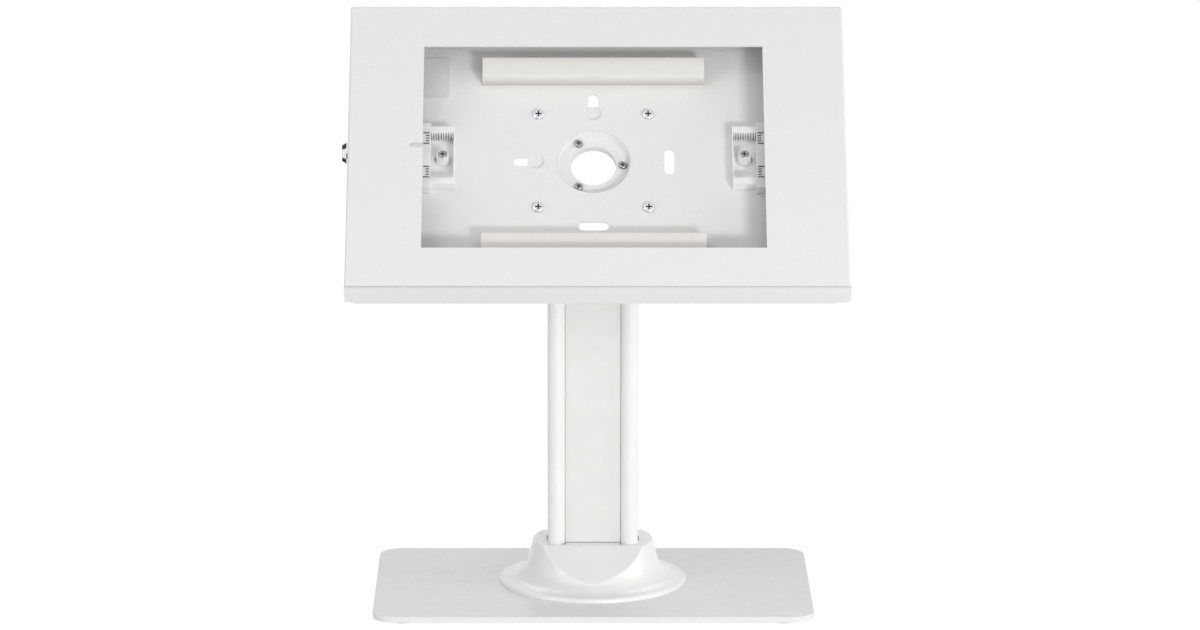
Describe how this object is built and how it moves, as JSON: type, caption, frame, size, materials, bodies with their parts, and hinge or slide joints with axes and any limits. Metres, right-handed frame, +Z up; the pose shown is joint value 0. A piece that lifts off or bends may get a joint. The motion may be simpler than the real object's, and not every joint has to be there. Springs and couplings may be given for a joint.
{
  "type": "tabletop tablet holder",
  "caption": "Free-standing tabletop tablet enclosure on a column, with tilt, quarter-turn swivel, sliding clamps and a lockable swing-down front cover.",
  "frame": {"origin": "on the table, below the middle of the whole part", "axes": "+X to the viewer's right, +Y away from the viewer, +Z up"},
  "size_m": [0.3423, 0.2111, 0.4071],
  "materials": {
    "base_plate": "white powder coat on steel",
    "base_feet": "pale grey rubber",
    "column_profile": "glossy white powder coat",
    "column_front_strip": "satin white",
    "column_rear_strip": "satin white",
    "base_collar": "glossy white",
    "column_base_screws": "zinc plated",
    "head_bracket": "white powder coat",
    "head_bracket_screws": "zinc plated",
    "tilt_bracket": "white powder coat on steel",
    "tilt_bolt": "zinc plated",
    "tilt_nut": "zinc plated",
    "tilt_washers": "plain",
    "swivel_washers": "plain",
    "swivel_stop_pin": "plain",
    "vesa_plate": "white powder coat on steel",
    "swivel_ring": "white powder coat on steel",
    "swivel_screws": "dark",
    "rear_casing": "white powder coat on steel",
    "vesa_screws": "bright zinc",
    "foam_pad_top": "closed-cell foam",
    "foam_pad_bottom": "closed-cell foam",
    "rear_camera_plate": "white powder coat",
    "rear_camera_screws": "zinc plated",
    "clamp_boss_left": "moulded",
    "clamp_boss_right": "moulded",
    "clamp_screws": "zinc plated",
    "lock_catch": "zinc plated",
    "lock_catch_screw": "zinc plated",
    "front_cover": "white powder coat on steel",
    "lock_barrel": "polished",
    "lock_nut": "zinc plated",
    "lock_plug": "polished",
    "lock_cam": "zinc plated",
    "lock_cam_screw": "zinc plated",
    "tablet_clamp_left": "moulded",
    "tablet_clamp_right": "moulded"
  },
  "bodies": {
    "base": {"base_plate": "base_plate", "base_feet": "base_feet", "column_profile": "column_profile", "column_front_strip": "column_front_strip", "column_rear_strip": "column_rear_strip", "base_collar": "base_collar", "column_base_screws": "column_base_screws", "head_bracket": "head_bracket", "head_bracket_screws": "head_bracket_screws"},
    "tilt_bracket": {"tilt_bracket": "tilt_bracket", "tilt_bolt": "tilt_bolt", "tilt_nut": "tilt_nut", "tilt_washers": "tilt_washers", "swivel_washers": "swivel_washers", "swivel_stop_pin": "swivel_stop_pin"},
    "head": {"vesa_plate": "vesa_plate", "swivel_ring": "swivel_ring", "swivel_screws": "swivel_screws", "rear_casing": "rear_casing", "vesa_screws": "vesa_screws", "foam_pad_top": "foam_pad_top", "foam_pad_bottom": "foam_pad_bottom", "rear_camera_plate": "rear_camera_plate", "rear_camera_screws": "rear_camera_screws", "clamp_boss_left": "clamp_boss_left", "clamp_boss_right": "clamp_boss_right", "clamp_screws": "clamp_screws", "lock_catch": "lock_catch", "lock_catch_screw": "lock_catch_screw"},
    "cover": {"front_cover": "front_cover", "lock_barrel": "lock_barrel", "lock_nut": "lock_nut"},
    "lock": {"lock_plug": "lock_plug", "lock_cam": "lock_cam", "lock_cam_screw": "lock_cam_screw"},
    "clamp_left": {"tablet_clamp_left": "tablet_clamp_left"},
    "clamp_right": {"tablet_clamp_right": "tablet_clamp_right"}
  },
  "joints": [
    {"name": "tilt", "type": "hinge", "parent": "base", "child": "tilt_bracket", "pos_m": [0, 0.0205, 0.2795], "axis": [1, 0, 0], "range_deg": [-47, 43]},
    {"name": "swivel", "type": "hinge", "parent": "tilt_bracket", "child": "head", "pos_m": [0, -0.01241, 0.31019], "axis": [0, -0.7314, 0.682], "range_deg": [-90, 90]},
    {"name": "cover_swing", "type": "hinge", "parent": "head", "child": "cover", "pos_m": [0, -0.10431, 0.24206], "axis": [1, 0, 0], "range_deg": [0, 75]},
    {"name": "lock_turn", "type": "hinge", "parent": "cover", "child": "lock", "pos_m": [-0.16655, -0.02046, 0.31769], "axis": [1, 0, 0], "range_deg": [0, 90]},
    {"name": "clamp_left_slide", "type": "slide", "parent": "head", "child": "clamp_left", "axis": [-1, 0, 0], "range_m": [-0.0031, 0.0023]},
    {"name": "clamp_right_slide", "type": "slide", "parent": "head", "child": "clamp_right", "axis": [1, 0, 0], "range_m": [-0.0031, 0.0023]}
  ]
}
